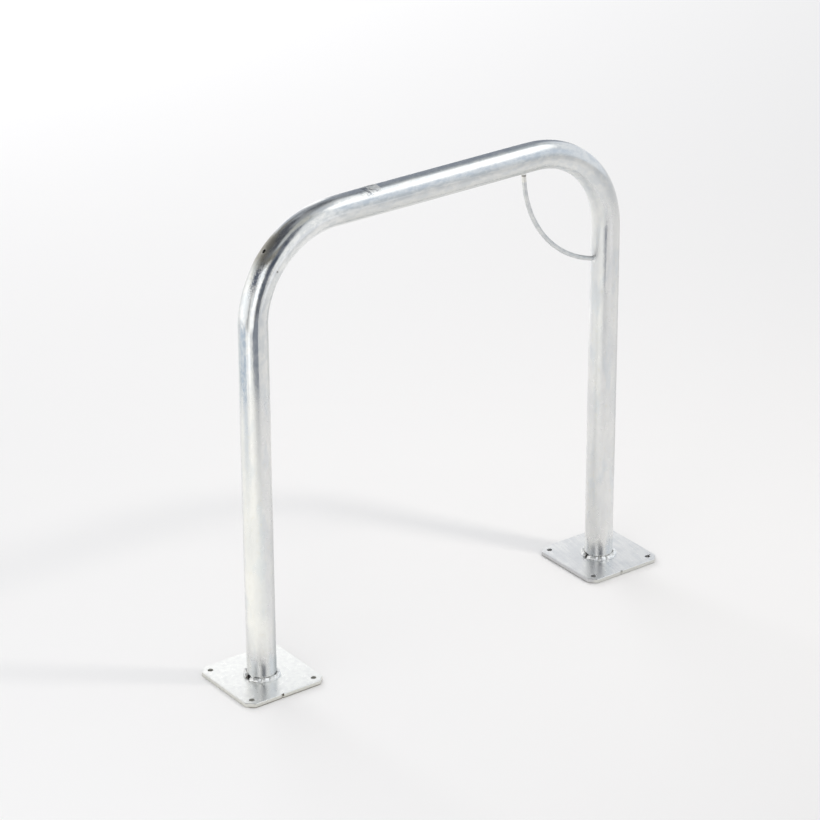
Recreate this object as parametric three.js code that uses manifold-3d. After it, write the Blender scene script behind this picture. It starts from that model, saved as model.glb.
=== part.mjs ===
// Hoop bike rack: a tube bent into a hoop, standing on two square base plates, with a curved
// lock rod across its right-hand corner.
// Millimetres, +Z up. The origin is on the ground under the middle of the hoop. The hoop lies in
// the XZ plane, with its left post at -X, its right post at +X and its front towards -Y.

import * as THREE from 'three';
import { mergeVertices } from 'three/addons/utils/BufferGeometryUtils.js';
import Module from 'manifold-3d';

const wasm = await Module();
wasm.setup();

// Driving dimensions

// Hoop tube
const hoopWidth = 750; // over the outsides of the two posts
const hoopHeight = 800; // from the ground to the top of the bar
const tubeDiameter = 48.3;
const tubeWall = 2.6;
const bendRadius = 155; // to the middle of the tube
const drainNotchDiameter = 12; // half-round notches in each foot let molten zinc in and out
const ventDiameter = 6; // lets air out of the tube while it is dipped
const ventTurn = THREE.MathUtils.degToRad(42.6); // up the left bend from the post

// Base plates
const plateSize = 150;
const plateThickness = 8;
const plateChamfer = 12;
const boltHoleDiameter = 9;
const boltHoleEdge = 15; // from a bolt hole's centre to each of the two edges beside it
const nickWidth = 4; // where the plate was cut free, in its front edge
const nickDepth = 2;
const nickOffset = 10; // from the post's centre towards the left

// Fillet welds round the posts
const beadLeg = 7.5; // along the plate
const beadRise = 6.5; // up the tube
const beadEndSetback = 2.5; // from a drain notch's edge to the bead's end
const beadCrownShares = { leg: 0.72, rise: 0.72 }; // 0.5 is a flat face, 1 is a square corner

// Lock rod
const rodDiameter = 8;
const rodBendRadius = 194;
const rodCentreOutset = 21; // of its arc's centre, from the right post's centreline
const rodCentreDrop = 22; // of its arc's centre, from the bar's centreline
const rodBeadLeg = 3.5; // along the tube
const rodBeadRise = 4; // along the rod
const rodBeadLip = 0.8; // what is left of the bead at its thin end

// Fits
const weldGap = 0.3; // between a weld bead and the pieces that it joins
const cutOverrun = 4; // how far a cutter runs past what it cuts

// Facets
const tubeSides = 40;
const boreSides = 24;
const bendSteps = 16;
const holeSides = 24;
const ventSides = 16;
const beadFaceSteps = 4;
const beadRingSteps = 48;
const rodSides = 16;
const rodSteps = 18;

// Derived sizes and places
const tubeRadius = tubeDiameter / 2;
const rodRadius = rodDiameter / 2;
const postX = hoopWidth / 2 - tubeRadius;
const barZ = hoopHeight - tubeRadius;
const bendCentreX = postX - bendRadius;
const bendCentreZ = barZ - bendRadius;
const quarterTurn = Math.PI / 2;

/** Hot-dip galvanised steel, in the grey and the gloss that its zinc has set to. */
function galvanised(color, roughness) {
  return new THREE.MeshStandardMaterial({ color, roughness, metalness: 0.9 });
}
const tubeZinc = galvanised(0xc6cacc, 0.34);
const plateZinc = galvanised(0xd3d6d6, 0.42);
const rodZinc = galvanised(0xb9bcb9, 0.45);
const weldZinc = galvanised(0xd8dbdc, 0.25);

/** A solid that can be cut, from a closed geometry. */
function solidOf(geometry) {
  const bare = geometry.clone();
  bare.deleteAttribute('normal');
  bare.deleteAttribute('uv');
  const merged = mergeVertices(bare);
  return new wasm.Manifold(new wasm.Mesh({
    numProp: 3,
    vertProperties: merged.attributes.position.array,
    triVerts: new Uint32Array(merged.index.array),
  }));
}

/** A geometry, from a solid. */
function geometryOf(solid) {
  const { vertProperties, triVerts } = solid.getMesh();
  const geometry = new THREE.BufferGeometry();
  geometry.setAttribute('position', new THREE.BufferAttribute(vertProperties, 3));
  geometry.setIndex(new THREE.BufferAttribute(triVerts, 1));
  return geometry;
}

function namedMesh(name, geometry, material) {
  const mesh = new THREE.Mesh(geometry, material);
  mesh.name = name;
  return mesh;
}

/** The corners of a regular outline that stands for a circle. */
function circlePoints(radius, sides, centreX = 0, centreY = 0) {
  return Array.from({ length: sides }, (_, i) => {
    const turn = (i / sides) * 2 * Math.PI;
    return new THREE.Vector2(centreX + radius * Math.cos(turn), centreY + radius * Math.sin(turn));
  });
}

/** A path of stations, each a point and the way the path runs there, which an extrusion steps through. */
class StationPath extends THREE.Curve {
  constructor(stations) {
    super();
    this.stations = stations;
  }

  get steps() {
    return this.stations.length - 1;
  }

  getPointAt(share, target = new THREE.Vector3()) {
    return target.copy(this.stations[Math.round(share * this.steps)].point);
  }

  getTangentAt(share, target = new THREE.Vector3()) {
    return target.copy(this.stations[Math.round(share * this.steps)].heading);
  }
}

/** A point at a turn round an arc in the XZ plane, and the heading there. Turn 0 is at -X, heading up. */
function arcStation(centreX, centreZ, radius, turn) {
  return {
    point: new THREE.Vector3(centreX - radius * Math.cos(turn), 0, centreZ + radius * Math.sin(turn)),
    heading: new THREE.Vector3(Math.sin(turn), 0, Math.cos(turn)),
  };
}

/** The middle of the hoop's tube: up the left post, round both bends and down to the right foot. */
function hoopPath() {
  const stations = [];
  stations.push({
    point: new THREE.Vector3(-postX, 0, plateThickness),
    heading: new THREE.Vector3(0, 0, 1),
  });
  for (const [centreX, firstTurn] of [[-bendCentreX, 0], [bendCentreX, quarterTurn]]) {
    for (let step = 0; step <= bendSteps; step += 1) {
      const turn = firstTurn + (step / bendSteps) * quarterTurn;
      stations.push(arcStation(centreX, bendCentreZ, bendRadius, turn));
    }
  }
  stations.push({
    point: new THREE.Vector3(postX, 0, plateThickness),
    heading: new THREE.Vector3(0, 0, -1),
  });
  return new StationPath(stations);
}

/** The middle of the lock rod, from the bar's centreline to the right post's centreline. */
function rodPath() {
  const firstTurn = Math.asin(rodCentreDrop / rodBendRadius);
  const lastTurn = -Math.acos(rodCentreOutset / rodBendRadius);
  const stations = [];
  for (let step = 0; step <= rodSteps; step += 1) {
    const turn = THREE.MathUtils.lerp(firstTurn, lastTurn, step / rodSteps);
    const station = arcStation(postX + rodCentreOutset, barZ - rodCentreDrop, rodBendRadius, turn);
    station.heading.negate();
    stations.push(station);
  }
  return new StationPath(stations);
}

function sweep(section, path) {
  return new THREE.ExtrudeGeometry(section, { extrudePath: path, steps: path.steps });
}

/** The outside of the hoop's tube as a solid bar, wider by a gap: it cuts what fits against the tube. */
function hoopEnvelope(gap) {
  return solidOf(sweep(new THREE.Shape(circlePoints(tubeRadius + gap, tubeSides)), hoopPath()));
}

/** The lock rod as a bar that runs on into the tube at both ends, wider by a gap. */
function rodEnvelope(gap) {
  return solidOf(sweep(new THREE.Shape(circlePoints(rodRadius + gap, rodSides)), rodPath()));
}

/** A drill along X, from its own middle. */
function drillAlongX(diameter, length, sides) {
  return new THREE.CylinderGeometry(diameter / 2, diameter / 2, length, sides).rotateZ(quarterTurn);
}

/** The hoop's tube: open at both feet, notched there on both sides, and vented through its left bend. */
function hoopTube() {
  const section = new THREE.Shape(circlePoints(tubeRadius, tubeSides));
  section.holes.push(new THREE.Path(circlePoints(tubeRadius - tubeWall, boreSides)));
  let tube = solidOf(sweep(section, hoopPath()));

  for (const sideX of [-1, 1]) {
    const notch = drillAlongX(drainNotchDiameter, tubeDiameter + 2 * cutOverrun, holeSides);
    notch.translate(sideX * postX, 0, plateThickness);
    tube = tube.subtract(solidOf(notch));
  }

  const ventLength = tubeRadius + cutOverrun;
  const vent = drillAlongX(ventDiameter, ventLength, ventSides);
  vent.translate(-bendRadius - ventLength / 2, 0, 0);
  vent.rotateY(ventTurn);
  vent.translate(-bendCentreX, 0, bendCentreZ);
  return geometryOf(tube.subtract(solidOf(vent)));
}

/** A base plate, centred under its post, with a bolt hole at each corner. */
function basePlate() {
  const half = plateSize / 2;
  const chamferStart = half - plateChamfer;
  const nickMiddle = -nickOffset;
  const outline = new THREE.Shape([
    new THREE.Vector2(-chamferStart, -half),
    new THREE.Vector2(nickMiddle - nickWidth / 2, -half),
    new THREE.Vector2(nickMiddle, nickDepth - half),
    new THREE.Vector2(nickMiddle + nickWidth / 2, -half),
    new THREE.Vector2(chamferStart, -half),
    new THREE.Vector2(half, -chamferStart),
    new THREE.Vector2(half, chamferStart),
    new THREE.Vector2(chamferStart, half),
    new THREE.Vector2(-chamferStart, half),
    new THREE.Vector2(-half, chamferStart),
    new THREE.Vector2(-half, -chamferStart),
  ]);
  const boltReach = half - boltHoleEdge;
  for (const sideX of [-1, 1]) {
    for (const sideY of [-1, 1]) {
      const bolt = circlePoints(boltHoleDiameter / 2, holeSides, sideX * boltReach, sideY * boltReach);
      outline.holes.push(new THREE.Path(bolt));
    }
  }
  return new THREE.ExtrudeGeometry(outline, { depth: plateThickness, bevelEnabled: false });
}

/** Half of the fillet weld round a post, in front (-1) or behind (1), ending beside the drain notches. */
function postWeld(sideY) {
  const inner = tubeRadius + weldGap;
  const toe = new THREE.Vector2(inner + beadLeg, plateThickness);
  const crown = new THREE.Vector2(
    inner + beadLeg * beadCrownShares.leg,
    plateThickness + beadRise * beadCrownShares.rise,
  );
  const top = new THREE.Vector2(inner, plateThickness + beadRise);
  const root = new THREE.Vector2(inner, plateThickness);
  const face = new THREE.QuadraticBezierCurve(toe, crown, top).getPoints(beadFaceSteps);
  const ring = new THREE.LatheGeometry([root, ...face, root], beadRingSteps);
  ring.rotateX(quarterTurn);

  const reach = inner + beadLeg + cutOverrun;
  const height = plateThickness + beadRise + cutOverrun;
  const beadEnd = drainNotchDiameter / 2 + beadEndSetback;
  const cutter = new THREE.BoxGeometry(2 * reach, reach + beadEnd, 2 * height);
  cutter.translate(0, sideY * (beadEnd - (reach + beadEnd) / 2), 0);
  return geometryOf(solidOf(ring).subtract(solidOf(cutter)));
}

/** The lock rod, each end shaped to the side of the tube that it meets. */
function lockRod() {
  return geometryOf(rodEnvelope(0).subtract(hoopEnvelope(weldGap)));
}

/** The small weld round an end of the lock rod, at that turn round its arc. Away is from the tube. */
function rodWeld(turn, awaySign) {
  const end = arcStation(postX + rodCentreOutset, barZ - rodCentreDrop, rodBendRadius, turn);
  const away = end.heading.multiplyScalar(awaySign);
  const length = rodBeadRise + cutOverrun;
  const thinEnd = rodRadius + rodBeadLip;
  const thickEnd = rodRadius + rodBeadLeg;
  const collar = new THREE.CylinderGeometry(thinEnd, thickEnd, length, holeSides);
  collar.translate(0, length / 2 - cutOverrun, 0);
  collar.applyQuaternion(new THREE.Quaternion().setFromUnitVectors(new THREE.Vector3(0, 1, 0), away));
  collar.translate(end.point.x, end.point.y, end.point.z);
  return geometryOf(solidOf(collar).subtract(rodEnvelope(weldGap)).subtract(hoopEnvelope(weldGap)));
}

// Assembly

const rack = new THREE.Group();
rack.add(namedMesh('hoop_tube', hoopTube(), tubeZinc));

for (const [side, sideX] of [['left', -1], ['right', 1]]) {
  const foot = new THREE.Group();
  foot.position.x = sideX * postX;
  foot.add(namedMesh(`base_plate_${side}`, basePlate(), plateZinc));
  foot.add(namedMesh(`weld_${side}_front`, postWeld(-1), weldZinc));
  foot.add(namedMesh(`weld_${side}_rear`, postWeld(1), weldZinc));
  rack.add(foot);
}

const barEndTurn = Math.asin((rodCentreDrop - tubeRadius) / rodBendRadius);
const postEndTurn = -Math.acos((rodCentreOutset + tubeRadius) / rodBendRadius);
rack.add(namedMesh('lock_rod', lockRod(), rodZinc));
rack.add(namedMesh('lock_rod_weld_bar', rodWeld(barEndTurn, -1), weldZinc));
rack.add(namedMesh('lock_rod_weld_post', rodWeld(postEndTurn, 1), weldZinc));

export default rack;
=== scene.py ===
# %% [markdown]
# # A hoop bicycle stand in hot-dip galvanised steel
#
# The real stand is a bent steel tube, two square plates, a thin lock rod and the welds between them. After
# welding, the whole thing is dipped in molten zinc, so every surface here is the same metal in a different
# state: smooth where the bender polished the tube, cloudy where the zinc cooled slowly, lumpy on the welds.
#
# Each piece is a surface worked out with numpy. A tube is a circle carried along a path, a plate is a grid
# with its corners pushed in and its holes opened, and a weld is a rounded section carried round the foot.
# Working the points out as whole arrays keeps each shape down to one formula, and the formula can be read.

# %% Load the fixed frame and read the sizes from it
import math

import bpy
import numpy as np
from mathutils import Matrix, Vector


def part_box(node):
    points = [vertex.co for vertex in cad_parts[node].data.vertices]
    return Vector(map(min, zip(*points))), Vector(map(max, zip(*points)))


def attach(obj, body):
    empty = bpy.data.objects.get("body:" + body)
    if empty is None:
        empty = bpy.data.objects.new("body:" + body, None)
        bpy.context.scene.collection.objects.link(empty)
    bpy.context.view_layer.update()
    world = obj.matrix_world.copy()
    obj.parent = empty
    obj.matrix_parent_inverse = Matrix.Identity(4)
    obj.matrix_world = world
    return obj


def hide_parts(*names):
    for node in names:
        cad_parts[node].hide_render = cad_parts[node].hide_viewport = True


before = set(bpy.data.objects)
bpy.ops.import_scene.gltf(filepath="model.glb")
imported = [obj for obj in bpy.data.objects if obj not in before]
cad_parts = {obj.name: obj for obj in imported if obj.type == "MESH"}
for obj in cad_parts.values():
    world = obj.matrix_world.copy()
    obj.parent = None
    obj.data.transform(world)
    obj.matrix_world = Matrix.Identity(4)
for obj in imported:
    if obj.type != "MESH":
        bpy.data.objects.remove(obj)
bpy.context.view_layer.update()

mm = 0.001


def corners(node):
    """Lowest and highest corner of a node of the frame, as numpy arrays in metres."""
    low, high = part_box(node)
    return np.array(low), np.array(high)


tube_low, tube_high = corners("hoop_tube")
tube_radius = tube_high[1]
post_x = tube_high[0] - tube_radius
bar_z = tube_high[2] - tube_radius
foot_z = tube_low[2]

tube_wall = 2.6 * mm
bend_radius = 155 * mm
drain_notch_radius = 6 * mm
notch_reach = 14 * mm
vent_radius = 3 * mm
vent_turn = math.radians(42.6)

post_run = bar_z - bend_radius - foot_z
bend_run = bend_radius * math.pi / 2
bar_run = 2 * (post_x - bend_radius)
tube_run = 2 * post_run + 2 * bend_run + bar_run
print(f"tube {2 * tube_radius / mm:.1f} mm across, {tube_run / mm:.0f} mm along its centre line")

# %% [markdown]
# ## The camera
#
# The photograph looks down on the stand from its front left. The camera's place and lens were found by
# laying the hoop over the photograph until the outlines met. The camera comes first, because nothing in the
# scene depends on it: no finish reads where the camera stands.

# %% The camera
image_side_px = 820
sensor_width_mm = 36.0
camera_place = (-3.0221, -4.0489, 2.7616)
camera_yaw = 0.63303
camera_pitch = 0.44044
camera_roll = 0.00481
camera_focal_px = 3435.3


def aim_camera(yaw, pitch, roll):
    """Rotation of a camera that looks along yaw (from +Y towards +X) and down by pitch, then rolls."""
    forward = np.array([math.sin(yaw) * math.cos(pitch), math.cos(yaw) * math.cos(pitch), -math.sin(pitch)])
    right = np.array([math.cos(yaw), -math.sin(yaw), 0.0])
    down = np.cross(forward, right)
    turned_right = math.cos(roll) * right + math.sin(roll) * down
    turned_down = math.cos(roll) * down - math.sin(roll) * right
    return Matrix(np.stack([turned_right, -turned_down, -forward], axis=1).tolist())


camera_data = bpy.data.cameras.new("camera")
camera_data.sensor_width = sensor_width_mm
camera_data.lens = camera_focal_px * sensor_width_mm / image_side_px
camera_data.clip_start = 0.1
camera_data.clip_end = 200.0
camera = bpy.data.objects.new("camera", camera_data)
bpy.context.scene.collection.objects.link(camera)
camera_turn = aim_camera(camera_yaw, camera_pitch, camera_roll)
camera.matrix_world = Matrix.Translation(camera_place) @ camera_turn.to_4x4()
bpy.context.scene.camera = camera
print(f"camera with a {camera_data.lens:.0f} mm lens")

# %% [markdown]
# ## From numbers to meshes
#
# Every surface below is a grid of points. Neighbouring points are joined by four-cornered faces, and where
# a surface runs round and meets itself the grid is closed by counting past the last column back to the
# first. Three helpers do that: one for grids, one for the strip between two loops of points, which makes
# the wall of a hole or the rim of a plate, and one for the fan that closes an end.


# %% Grids, strips and finished objects
def grid_faces(index, wrap_rows=False, wrap_columns=False):
    """Four-cornered faces of a grid of point numbers, counter-clockwise in (row, column)."""
    rows, columns = index.shape
    a = np.arange(rows if wrap_rows else rows - 1)[:, None]
    b = np.arange(columns if wrap_columns else columns - 1)[None, :]
    here, next_row = index[a, b], index[(a + 1) % rows, b]
    across, next_column = index[(a + 1) % rows, (b + 1) % columns], index[a, (b + 1) % columns]
    return np.stack([here, next_row, across, next_column], axis=-1)


def strip(loop, other):
    """Faces between two closed loops of point numbers, running the way the first loop runs."""
    return np.stack([loop, np.roll(loop, -1), np.roll(other, -1), other], axis=-1)


def fan(loop, centre):
    """Three-cornered faces that close a loop of point numbers on one point."""
    return np.stack([loop, np.roll(loop, -1), np.full_like(loop, centre)], axis=-1)


def block_loop(index, row, column, reach):
    """Point numbers round a square block of a grid, counter-clockwise in (row, column)."""
    low_r, high_r, low_c, high_c = row - reach, row + reach, column - reach, column + reach
    up, down = np.arange(-reach, reach), np.arange(reach, -reach, -1)
    wide = index.shape[1]
    return np.concatenate([
        index[row + up, low_c % wide],
        index[high_r, (column + up) % wide],
        index[row + down, high_c % wide],
        index[low_r, (column + down) % wide],
    ])


def signed_volume(points, faces):
    """Volume inside closed faces: a sixth of the sum of a . (b x c) over their triangles."""
    total = 0.0
    for face in faces:
        for k in range(1, face.shape[1] - 1):
            a, b, c = points[face[:, 0]], points[face[:, k]], points[face[:, k + 1]]
            total += np.einsum("ij,ij->", a, np.cross(b, c)) / 6
    return total


def closed_piece(name, points, faces, crease_degrees=180.0):
    """A mesh object at the origin from closed faces, turned so that they point outwards."""
    faces = [np.asarray(f).reshape(-1, np.shape(f)[-1]) for f in faces]
    if signed_volume(points, faces) < 0:
        faces = [f[:, ::-1] for f in faces]
    mesh = bpy.data.meshes.new(name)
    mesh.from_pydata(points.tolist(), [], [list(map(int, row)) for f in faces for row in f])
    mesh.update()
    mesh.polygons.foreach_set("use_smooth", np.ones(len(mesh.polygons), dtype=bool))
    if crease_degrees < 180.0:
        mesh.set_sharp_from_angle(angle=math.radians(crease_degrees))
    piece = bpy.data.objects.new(name, mesh)
    bpy.context.scene.collection.objects.link(piece)
    print(f"{name}: {len(points)} points, {signed_volume(points, faces) * 1e6:.1f} cm3")
    return piece


def closed_rings(name, points):
    """A piece from a grid whose rows close to rings, with a fan over the first ring and over the last."""
    index = np.arange(points.shape[0] * points.shape[1]).reshape(points.shape[:2])
    flat = points.reshape(-1, 3)
    flat = np.concatenate([flat, [flat[index[0]].mean(axis=0), flat[index[-1]].mean(axis=0)]])
    fans = [fan(index[0], len(flat) - 2), fan(index[-1][::-1], len(flat) - 1)]
    return closed_piece(name, flat, [grid_faces(index, wrap_columns=True), *fans])


def keep_vectors(piece, label, values):
    """Stores one vector a point on a piece, for its material to read."""
    attribute = piece.data.attributes.new(label, "FLOAT_VECTOR", "POINT")
    attribute.data.foreach_set("vector", np.asarray(values, dtype=np.float32).ravel())


def keep_numbers(piece, label, values):
    """Stores one number a point on a piece, three times over, for its material to read as one factor."""
    keep_vectors(piece, label, np.repeat(np.reshape(values, (-1, 1)), 3, axis=1))


def smooth_step(x, low, high):
    """0 below low, 1 above high, and 3t^2 - 2t^3 between them."""
    t = np.clip((x - low) / (high - low), 0, 1)
    return t * t * (3 - 2 * t)


# %% [markdown]
# ## The hoop tube
#
# The real hoop is one length of tube bent twice on a bender. Its centre line is straight, a quarter circle,
# straight, a quarter circle, straight. The turn so far, `turn`, says everything about it: the tangent is
# (sin turn, 0, cos turn), and the direction away from the hoop's middle is (-cos turn, 0, sin turn).
#
# Bending leaves traces that a perfect sweep lacks. The tube flattens a little in the bends, the clamp of
# the bender scuffs the bar, and the drawn tube is never quite round or straight. The flattening is about a
# millimetre and the rest less than a tenth of one, but on bright metal they bend every reflection, and the
# eye reads that as real.


# %% The hoop's centre line
def hoop_line(s):
    """Points and outward directions of the hoop's centre line at the lengths s from the left foot."""
    first = np.clip((s - post_run) / bend_radius, 0, math.pi / 2)
    along_bar = np.clip(s - post_run - bend_run, 0, bar_run)
    second = np.clip((s - post_run - bend_run - bar_run) / bend_radius, 0, math.pi / 2)
    down = np.clip(s - post_run - 2 * bend_run - bar_run, 0, None)
    x = -post_x + bend_radius * (1 - np.cos(first)) + along_bar + bend_radius * np.sin(second)
    z = foot_z + np.minimum(s, post_run) + bend_radius * (np.sin(first) + np.cos(second) - 1) - down
    turn = first + second
    outward = np.stack([-np.cos(turn), 0 * turn, np.sin(turn)], axis=-1)
    return np.stack([x, 0 * x, z], axis=-1), outward


vent_s = post_run + bend_radius * vent_turn
clamp_s = post_run + bend_run + 72 * mm
clamp_length = 19 * mm
speckle_s = post_run + bend_run + 61 * mm
speckle_length = 16 * mm
pit_s = post_run + bend_radius * math.radians(36.8)
pit_angle = math.radians(93)
pit_radius = 1.3 * mm
pit_depth = 0.8 * mm
flat_outside = 1.1 * mm
flat_inside = 0.4 * mm
wave_depth = 0.014 * mm
draw_line_depth = 0.006 * mm
clamp_ridge_depth = 0.09 * mm
bend_middles = [post_run + bend_run / 2, post_run + bend_run * 1.5 + bar_run]


# %% [markdown]
# The radius of the tube is a function of the length along it and the angle round it. Flattening in the
# bends follows the cosine squared of the angle, stronger on the outside. The waves are sums of sines with
# lengths that share no common multiple, so they don't repeat. The clamp's marks are short ridges across the
# bar.


# %% The tube's radius
def tube_skin(s, angle):
    """Outer radius at length s and angle round (0 is outwards).

    It is a circle, less the flattening of the bends, the waves and lines, the clamp's ridges and the pit.
    """
    from_middles = [np.abs(s - middle) for middle in bend_middles]
    flat = sum(smooth_step(bend_run * 0.62 - away, 0, bend_run * 0.3) for away in from_middles)
    outside = np.clip(np.cos(angle), 0, None) ** 2
    inside = np.clip(-np.cos(angle), 0, None) ** 2
    radius = tube_radius - flat * (flat_outside * outside + flat_inside * inside)
    waves = np.sin(s / (9.1 * mm) + 2 * angle) + np.sin(s / (14.7 * mm) - 3 * angle + 1.1)
    waves = waves + 0.7 * np.sin(s / (5.3 * mm) + 5 * angle + 2.3)
    draw_lines = np.sin(11 * angle + np.sin(s / (160 * mm))) + 0.6 * np.sin(17 * angle + 0.8)
    radius = radius - wave_depth * (2.7 - waves) - draw_line_depth * (1.6 - draw_lines)
    at_clamp = smooth_step(clamp_length / 2 - np.abs(s - clamp_s), 0, 4 * mm)
    top_half = smooth_step(np.cos(angle), 0.5, 0.85)
    ridges = 0.5 + 0.5 * np.sin(s / (0.9 * mm) + 3 * np.sin(4 * angle))
    radius = radius - clamp_ridge_depth * at_clamp * top_half * ridges
    pit_distance = np.hypot(s - pit_s, tube_radius * (angle - pit_angle))
    return radius - pit_depth * np.exp(-((pit_distance / pit_radius) ** 2))


# %% [markdown]
# The vent is a hole of 6 mm that lets the zinc run in and out of the bend. A hole in a grid needs no
# cutting: the points round a small block of the grid slide onto a circle, the further ones less and less,
# and the faces inside the block are left out. The same idea opens the bolt holes of the plates later on.


# %% Opening a round hole in a grid
def open_hole(a, b, step, reach, fade, radius):
    """Moves grid offsets (a, b) from a hole's centre: the block of `reach` steps becomes a circle.

    The larger of |a| and |b| counts the steps out from the centre. At `reach` steps the offset keeps its
    direction and gets the hole's radius, and from `fade` steps on it stays as it is.
    """
    steps = np.maximum(np.abs(a), np.abs(b)) / step
    distance = np.maximum(np.hypot(a, b), 1e-9)
    free = np.clip((steps - reach) / (fade - reach), 0, 1)
    scale = free + (1 - free) * radius / distance
    scale = np.where(steps < reach, steps / reach * scale, scale)
    return a * scale, b * scale


# %% Stations along the tube and the two skins
tube_columns = 160
column_step = 2 * math.pi * tube_radius / tube_columns
angles = 2 * math.pi * np.arange(tube_columns) / tube_columns
hole_reach = 3
hole_fade = 9
post_step = 7 * mm
bend_step = 3.5 * mm
bar_step = 6 * mm
bar_from = post_run + bend_run
bar_to = post_run + bend_run + bar_run
second_post_from = post_run + 2 * bend_run + bar_run

vent_rows = vent_s + column_step * np.arange(-hole_fade, hole_fade + 1)
foot_rows = np.array([0, 0.6, 1.5, 3, 5, 8, 12]) * mm
clamp_rows = clamp_s + np.linspace(-clamp_length / 2 - 3 * mm, clamp_length / 2 + 3 * mm, 66)
pit_rows = pit_s + np.linspace(-3.2 * mm, 3.2 * mm, 9)
plain = np.concatenate([
    np.arange(18 * mm, post_run, post_step),
    np.arange(post_run, bar_from, bend_step),
    np.arange(bar_from, bar_to, bar_step),
    np.arange(bar_to, second_post_from, bend_step),
    np.arange(second_post_from, tube_run - 15 * mm, post_step),
])
clear = (plain < vent_rows[0] - 2 * mm) | (plain > vent_rows[-1] + 2 * mm)
clear &= (plain < clamp_rows[0] - mm) | (plain > clamp_rows[-1] + mm)
clear &= (plain < pit_rows[0] - mm) | (plain > pit_rows[-1] + mm)
outer_rows = [foot_rows, plain[clear], pit_rows, vent_rows, clamp_rows, tube_run - foot_rows]
outer_rows = np.sort(np.concatenate(outer_rows))
vent_row = int(np.argmin(np.abs(outer_rows - vent_s)))
near_vent = np.abs(np.arange(len(outer_rows)) - vent_row) <= hole_fade
at_feet = (outer_rows <= foot_rows[-1]) | (outer_rows >= tube_run - foot_rows[-1] - 1e-9)
bore_rows = outer_rows[near_vent | at_feet | (np.arange(len(outer_rows)) % 5 == 0)]
print(f"tube: {len(outer_rows)} rows outside, {len(bore_rows)} inside, {tube_columns} columns")


def tube_surface(rows, wall):
    """Points of one skin of the tube, `wall` below the outer one, and the same points on a straightened tube.

    Each point is the centre line's point plus the radius times (cos angle outwards, sin angle forwards). At
    each foot the rows start at the drain notch, sqrt(notch radius^2 - y^2) above the plate, and are pushed up
    by less and less over the next `notch_reach`.
    """
    s, angle = np.meshgrid(rows, angles, indexing="ij")
    y = (tube_radius - wall) * np.sin(angle)
    notch = np.sqrt(np.clip(drain_notch_radius**2 - y**2, 0, None))
    at_left_foot = np.clip(1 - s / notch_reach, 0, 1)
    at_right_foot = np.clip(1 - (tube_run - s) / notch_reach, 0, 1)
    s = s + notch * (at_left_foot - at_right_foot)
    signed = (angle + math.pi) % (2 * math.pi) - math.pi
    from_vent = (s - vent_s, signed * tube_radius)
    offset_s, offset_y = open_hole(*from_vent, column_step, hole_reach, hole_fade, vent_radius)
    s, signed = vent_s + offset_s, offset_y / tube_radius
    point, outward = hoop_line(s)
    radius = tube_skin(s, signed % (2 * math.pi)) - wall
    forward = np.array([0.0, -1.0, 0.0])
    ring = outward * np.cos(signed)[..., None] + forward * np.sin(signed)[..., None]
    straight = np.stack([s, radius * np.cos(signed), radius * np.sin(signed)], axis=-1)
    return point + radius[..., None] * ring, straight


def compact(faces):
    """Drops the point numbers that no face uses, and counts the rest anew."""
    used = np.unique(np.concatenate([f.ravel() for f in faces]))
    place = np.zeros(used.max() + 1, dtype=int)
    place[used] = np.arange(len(used))
    return used, [place[f] for f in faces]


def make_tube():
    """Outer skin one way, bore the other way, closed into one surface, with the vent's wall between them."""
    outer, outer_straight = tube_surface(outer_rows, 0.0)
    bore, bore_straight = tube_surface(bore_rows[::-1], tube_wall)
    points = np.concatenate([outer, bore])
    straight = np.concatenate([outer_straight, bore_straight])
    index = np.arange(points.shape[0] * tube_columns).reshape(points.shape[:2])
    faces = grid_faces(index, wrap_rows=True, wrap_columns=True)
    bore_vent = len(outer_rows) + int(np.argmin(np.abs(bore_rows[::-1] - vent_s)))
    keep = np.ones(faces.shape[:2], dtype=bool)
    columns = np.arange(-hole_reach, hole_reach) % tube_columns
    for row in (vent_row, bore_vent):
        keep[np.ix_(np.arange(row - hole_reach, row + hole_reach), columns)] = False
    outer_loop = block_loop(index, vent_row, 0, hole_reach)
    bore_loop = block_loop(index, bore_vent, 0, hole_reach)
    flat = points.reshape(-1, 3)
    apart = np.linalg.norm(flat[outer_loop][:, None] - flat[bore_loop][None], axis=-1)
    wall = strip(outer_loop, bore_loop[np.argmin(apart, axis=1)])
    used, faces = compact([faces[keep], wall])
    piece = closed_piece("tube_galvanised", flat[used], faces, crease_degrees=50)
    keep_vectors(piece, "straight", straight.reshape(-1, 3)[used])
    return piece


tube = make_tube()

# %% [markdown]
# ## The base plates
#
# Each foot stands on a square of flat steel, 8 mm thick, sheared from a strip. Its corners are cut off,
# four bolt holes are drilled near them, and the shear left a small nick in the front edge. Zinc rounds
# every sharp edge, so the rim of the plate and the lips of its holes are quarter circles of about a
# millimetre.
#
# A plate is a flat grid twice, above and below. The corner cut is a push towards the middle that grows from
# nothing to its full depth over the last few millimetres, and the holes open as the vent did.

# %% The plates' sizes
plate_low, plate_high = corners("base_plate_left")
plate_half = (plate_high[1] - plate_low[1]) / 2
plate_top = plate_high[2]
plate_chamfer = 12 * mm
bolt_radius = 4.5 * mm
bolt_offset = plate_half - 15 * mm
nick_offset = -10 * mm
nick_width = 4 * mm
nick_depth = 2 * mm
rim_round = 1.1 * mm
corner_round = 1.4 * mm
lip_round = 0.6 * mm
round_steps = 4
plate_step = 1 * mm
bolt_reach = 4
bolt_fade = 8
print(f"plates {2 * plate_half / mm:.0f} mm square")
print(f"bolt holes {2 * bolt_radius / mm:.0f} mm wide, {bolt_offset / mm:.0f} mm from the middle in x and y")


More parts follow.
